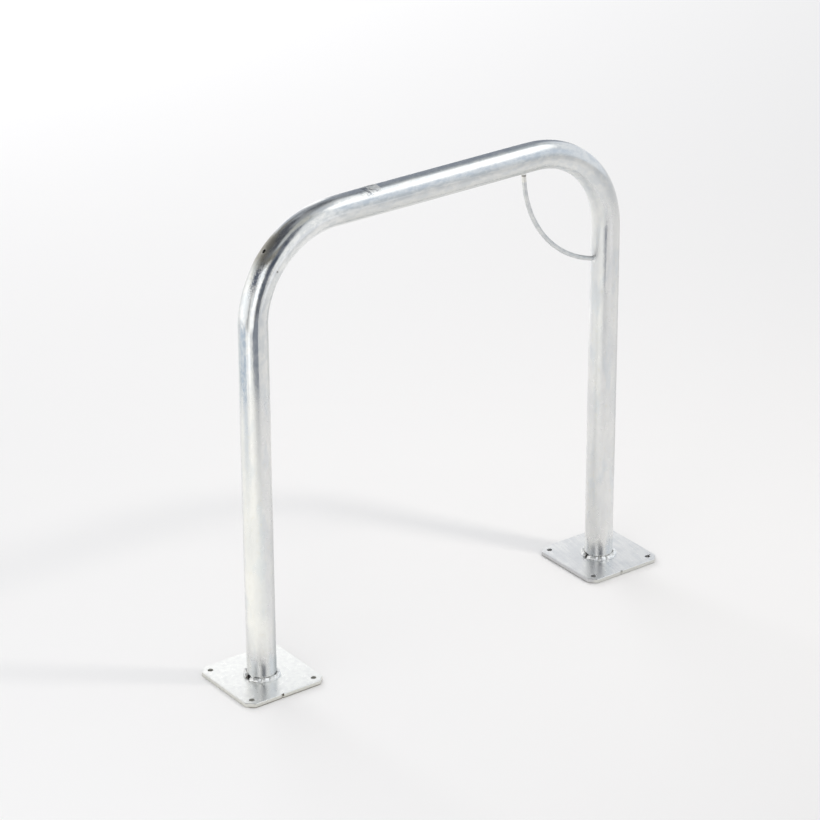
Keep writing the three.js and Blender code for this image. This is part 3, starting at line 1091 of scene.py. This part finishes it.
material_rod, tree = new_material("hot_dip_galvanised_rod")
place = add_node(tree, "TexCoord", take="Object")
cloud, fine = patterns(tree, place, [((1, 1, 1), 9 * mm, 3.0, 0.5), ((1, 1, 1), 1.5 * mm, 2.0, 0.5)])
height = add_node(tree, "SeparateXYZ", place, take="Z")
colour = tinted(tree, rod_grey, [
    (rod_shade, (cloud, 0.35, 0.65, 0, 1)),
    (cream_zinc, (height, bar_underside - 10 * mm, 3 * mm, 5 * mm), 0.6),
    # a flux stain and painted crevice shade just under the bar, at the collar's tip
    (flux_stain_and_shade, (height, bar_underside - 4.4 * mm, 0.8 * mm, 1.2 * mm), (cloud, 0.35, 0.6, 0.4, 1)),
])
roughness = mask(tree, (fine, 0.3, 0.7, 0.34, 0.48))
end_in_metal(tree, colour, roughness, [(0.03 * mm, cloud), (0.01 * mm, fine)])

# %% [markdown]
# ## Every piece rides on the one body
#
# The stand is one welded body, so every new piece rides on it, takes the place of its node and gets its
# material.


# %% Dress the frame
def dress(piece, node, material):
    """Gives a piece its material, and lets it stand for a node of the frame."""
    piece.data.materials.append(material)
    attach(piece, "root")
    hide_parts(node)


dress(tube, "hoop_tube", material_tube)
dress(plates["left"], "base_plate_left", material_plate)
dress(plates["right"], "base_plate_right", material_plate)
dress(rod, "lock_rod", material_rod)
for node, piece in {**foot_welds, **collars}.items():
    dress(piece, node, material_weld)

# %% [markdown]
# ## The studio
#
# Bright metal looks like whatever stands round it, so the studio is half of the finish. The floor is white
# and runs to the horizon. Round the stand hangs a tent of panels that only reflections see: white where the
# softboxes are, slate where the room is dark. It has an azimuth, from the back (+Y) towards +X, and a
# height over the horizon, and each panel is a rectangle in those two with a soft edge.

# %% The floor
floor_reach = 40.0
floor_sides = 96
floor_white = linear("#f6f6f7")

floor_mesh = bpy.data.meshes.new("floor")
ring_angles = 2 * math.pi * np.arange(floor_sides) / floor_sides
rim_points = floor_reach * np.stack([np.cos(ring_angles), np.sin(ring_angles), 0 * ring_angles], axis=-1)
floor_mesh.from_pydata(rim_points.tolist(), [], [list(range(floor_sides))])
floor = bpy.data.objects.new("floor", floor_mesh)
bpy.context.scene.collection.objects.link(floor)
floor.location.z = -0.0002  # just under the plates, so that no two faces lie in one plane
material_floor, tree = new_material("matt_white_floor")
add_node(tree, "OutputMaterial", add_node(tree, "BsdfDiffuse", floor_white, 0.0))
floor_mesh.materials.append(material_floor)


# %% Sheets that only reflections see
def reflection_only(obj):
    """Hides a stage object from the camera, from soft light and from shadows."""
    obj.visible_camera = False
    obj.visible_diffuse = False
    obj.visible_transmission = False
    obj.visible_shadow = False


def glowing_sheet(name, points, colours):
    """A grid of points that shines in the colour which the mesh keeps at each of them."""
    mesh = bpy.data.meshes.new(name)
    index = np.arange(points.shape[0] * points.shape[1]).reshape(points.shape[:2])
    mesh.from_pydata(points.reshape(-1, 3).tolist(), [], grid_faces(index).reshape(-1, 4).tolist())
    attribute = mesh.attributes.new("glow", "FLOAT_COLOR", "POINT")
    rgba = np.concatenate([colours, np.ones(colours.shape[:2] + (1,))], axis=-1)
    attribute.data.foreach_set("color", rgba.astype(np.float32).ravel())
    mesh.materials.append(material_glow)
    sheet = bpy.data.objects.new(name, mesh)
    bpy.context.scene.collection.objects.link(sheet)
    reflection_only(sheet)


def at_level(level, colour):
    """A colour at each of some levels of light."""
    return np.asarray(level)[..., None] * np.array(linear(colour)[:3])


material_glow, tree = new_material("studio_panels")
glow = add_node(tree, "Attribute", take="Color", attribute_name="glow")
add_node(tree, "OutputMaterial", add_node(tree, "Emission", glow, 1.0))
material_glow.cycles.emission_sampling = "NONE"

# %% The tent
tent_reach = 9.0
room_level = 0.72
room_colour = "#eef3f8"
panels = [
    # azimuth from and to, height from and to, softness, level, colour
    (-180, 180, 66, 100, 9, 0.42, "#f0f3f8"),  # ceiling
    (5, 60, 50, 74, 7, 0.2, "#dfe5f0"),  # ceiling at the back
    (84, 165, 60, 82, 6, 0.76, "#f0f3f8"),  # ceiling at the front
    (165, 245, 58, 88, 8, 0.58, "#fbfaf3"),  # ceiling on the camera's side
    (50, 132, -14, 36, 8, 0.97, "#f0f4fa"),  # right wall
    (116, 152, 16, 46, 9, 0.92, "#e8f0fb"),  # right wall at the front
    (152, 184, -2, 47, 5, 1.0, "#ffffff"),  # sheet in front
    (29, 54, -8, 50, 6, 0.42, "#dde5f4"),  # right wall at the back
    (-8, 26, 0, 34, 10, 0.74, "#e6eaf3"),  # columns at the back
    (-8, 28, 34, 60, 8, 0.43, "#e2e7f2"),  # the columns' tops
    (20, 28, -8, 34, 4, 1.5, "#ffffff"),  # bright slot beside the columns
    (-152, 2, 30, 47, 5, 0.27, "#f2ebdd"),  # left wall at the back
    (-124, -8, 46, 75, 7, 0.14, "#dfe3f0"),  # dark above that wall
    (-70, 4, 4, 22, 8, 1.0, "#fffdf6"),  # glow low on that wall
    (-118, -70, 17, 37, 5, 0.22, "#cbd6f0"),  # left wall
    (-117, -93, 7, 18, 4, 0.12, "#cbd6f0"),  # left wall's foot
    (-116, -4, -20, 7, 4, 1.2, "#ffffff"),  # sweep of white paper
    (182, 214, -14, 4, 4, 0.15, "#cdd8f2"),  # dark room on the camera's side, foot
    (187, 217, 4, 30, 5, 0.16, "#cdd8f2"),  # the same, low
    (183, 209, 28, 57, 6, 0.17, "#cdd8f2"),  # the same, high
    (-145, -120, -30, 20, 4, 1.5, "#ffffff"),  # strip softbox
    (-138, -112, 20, 34, 4, 1.35, "#ffffff"),  # strip softbox's top
    (78, 150, 41, 62, 7, 1.6, "#ffffff"),  # key softbox
]


def tent_colours(azimuth, height):
    """The room's level, with each panel laid over it by its soft-edged share."""
    colours = at_level(room_level * np.ones(azimuth.shape), room_colour)
    for a_from, a_to, h_from, h_to, soft, level, colour in panels:
        middle, half = (a_from + a_to) / 2, (a_to - a_from) / 2
        off = np.abs((azimuth - middle + 180) % 360 - 180)
        share = smooth_step(half - off, -soft, soft) if half < 180 else np.ones_like(off)
        share = share * smooth_step(height, h_from - soft, h_from + soft)
        share = share * smooth_step(-height, -h_to - soft, -h_to + soft)
        colours = colours + share[..., None] * (at_level(level, colour) - colours)
    return colours


azimuth, height = np.meshgrid(np.linspace(-180, 180, 361), np.linspace(-3, 90, 94), indexing="ij")
a, h = np.radians(azimuth), np.radians(height)
sky = tent_reach * np.stack([np.sin(a) * np.cos(h), np.cos(a) * np.cos(h), np.sin(h)], axis=-1)
glowing_sheet("tent", sky, tent_colours(azimuth, height))
print(f"tent: {len(panels)} panels")

# %% [markdown]
# The posts are upright, so seen from above they show mostly the floor. Boards and wedges lie on it round
# the left post, seen by reflections only, and draw the dark and bright stripes on the posts. A white card
# behind the stand makes the plates shine, and a card bent to an arc stands round the left post.


# %% Boards, wedges and cards
def board(name, x_range, y_range, z_range, level, colour, near_end=1.0, far_end=1.0):
    """A flat board between two corners. Its level falls to `near_end` and `far_end` at its two ends in x."""
    u, v = np.meshgrid(np.linspace(0, 1, 24), np.linspace(0, 1, 2), indexing="ij")
    x = x_range[0] + u * (x_range[1] - x_range[0])
    y = y_range[0] + v * (y_range[1] - y_range[0])
    z = z_range[0] + v * (z_range[1] - z_range[0])
    share = 1 - (1 - far_end) * smooth_step(u, 0.42, 0.8) - (1 - near_end) * smooth_step(-u, -0.32, -0.14)
    glowing_sheet(name, np.stack([x, y, z], axis=-1), at_level(share * level, colour))


def wedge(name, turn_from, turn_to, level, colour, reach_from=1.7, reach_to=9.3, edge=None):
    """A wedge of the floor round the left post, between two azimuths in degrees and two reaches in metres.

    With `edge`, its level goes over to that one towards both azimuths.
    """
    u, reach = np.meshgrid(np.linspace(0, 1, 24), np.array([reach_from, reach_to]), indexing="ij")
    around = np.radians(turn_from + u * (turn_to - turn_from))
    points = np.stack([-post_x + reach * np.sin(around), reach * np.cos(around), 0 * reach + 4 * mm], axis=-1)
    edge = level if edge is None else edge
    levels = edge + (level - edge) * smooth_step(0.5 - np.abs(u - 0.5), 0, 0.25)
    glowing_sheet(name, points, at_level(levels, colour))


def arc_card(reach):
    """A card round the left post: brightest at -54 degrees, a dark stripe at -103, dimmer at its foot."""
    around, rise = np.meshgrid(np.linspace(-118, -4, 60), np.linspace(0.1, 0.94, 24), indexing="ij")
    turn = np.radians(around)
    points = np.stack([-post_x + reach * np.sin(turn), reach * np.cos(turn), rise], axis=-1)
    level = 1.0 + 0.4 * np.exp(-(((around + 54) / 30) ** 2))
    level = level * (1 - 0.55 * np.exp(-(((around + 103) / 6) ** 2)))
    level = 0.8 + (level - 0.8) * smooth_step(rise, 0.1, 0.34)
    glowing_sheet("arc_card", points, at_level(level, "#ffffff"))


wedge("far_left", -94, -40, 1.4, "#ffffff")
wedge("far_grey", -8, 20, 0.55, "#e6e8e6", reach_from=3.6)
wedge("right_grey", 46, 102, 0.74, "#ffffff", reach_from=1.05, reach_to=2.3, edge=0.92)
wedge("right_grey_near", 54, 118, 0.74, "#ffffff", reach_from=0.15, reach_to=0.6, edge=0.92)
wedge("far_blue", -114, -94, 0.45, "#e2ebf4")
wedge("far_front", 144, 168, 0.98, "#fbfcff")
wedge("far_white", -145, -114, 1.3, "#ffffff")
wedge("far_dark", -178, -150, 0.2, "#dde3f0")
board("dark_board", (-1.25, -0.30), (-2.3, -0.93), (0.012, 0.012), 0.42, "#dde3f0")
board("blue_board", (-1.75, -1.15), (0.0, 0.75), (0.014, 0.014), 0.8, "#d2e2f4")
board("pale_board", (-1.1, -0.2), (0.95, 1.32), (0.014, 0.014), 0.84, "#e8f2f8")
board("white_board", (-2.2, -1.3), (-0.72, -0.3), (0.012, 0.012), 1.4, "#ffffff")
board("left_board", (-1.3, -0.46), (-0.55, 0.9), (0.012, 0.012), 1.13, "#fffef9")
board("front_board", (-1.3, -0.28), (-0.9, -0.12), (0.010, 0.010), 1.02, "#fffffc")
board("back_card", (-0.6, 1.6), (0.85, 0.85), (0.05, 0.78), 1.23, "#ffffff", near_end=0.78, far_end=0.83)
board("grey_board", (-0.7, 0.45), (1.15, 1.75), (0.006, 0.006), 0.6, "#eef3f6")
arc_card(1.34)

# %% [markdown]
# The lamps give the shadows and the light of the white floor. The key lamp hangs to the right in front,
# 2.25 m up, where lines drawn back through the two shadows of the posts meet. The fills light the floor,
# and the rest comes from the white room.


# %% Lamps and world
def lamp(name, place, aim, size, watts, colour="#ffffff", spread=180):
    """A square area lamp at a place, turned to a point. Reflections see the tent instead of it."""
    data = bpy.data.lights.new(name, "AREA")
    data.shape = "SQUARE"
    data.size = size
    data.energy = watts
    data.color = linear(colour)[:3]
    data.spread = math.radians(spread)
    obj = bpy.data.objects.new(name, data)
    bpy.context.scene.collection.objects.link(obj)
    direction = Vector(aim) - Vector(place)
    obj.matrix_world = Matrix.Translation(place) @ direction.to_track_quat("-Z", "Y").to_matrix().to_4x4()
    obj.visible_glossy = False


lamp("key", (1.0, -1.1, 2.25), (0.3, 0.55, 0), 0.22, 3.5, "#fff8ef", spread=100)
lamp("left_fill", (-1.6, -0.3, 1.6), (-1.2, 0, 0), 1.5, 5.6)
lamp("front_fill", (-2.4, -2.2, 1.6), (-1.1, -1.1, 0), 1.5, 6.0)
lamp("back_fill", (1.0, 5.6, 3.0), (1.2, 4.2, 0), 3.5, 114.0)

room_light = 0.692
world = bpy.data.worlds.new("white_room")
bpy.context.scene.world = world
world.use_nodes = True
tree = world.node_tree
tree.nodes.clear()
ray = add_node(tree, "LightPath", take="all")
seen = add_node(tree, "Math", ray["Is Camera Ray"], ray["Is Glossy Ray"], operation="MAXIMUM")
seen = add_node(tree, "Math", seen, ray["Is Transmission Ray"], operation="MAXIMUM")
level = add_node(tree, "MapRange", seen, 0, 1, room_light, 1.0, interpolation_type="LINEAR")
add_node(tree, "OutputWorld", add_node(tree, "Background", (1, 1, 1, 1), level))
bpy.context.scene.view_settings.view_transform = "Standard"
print("studio ready")
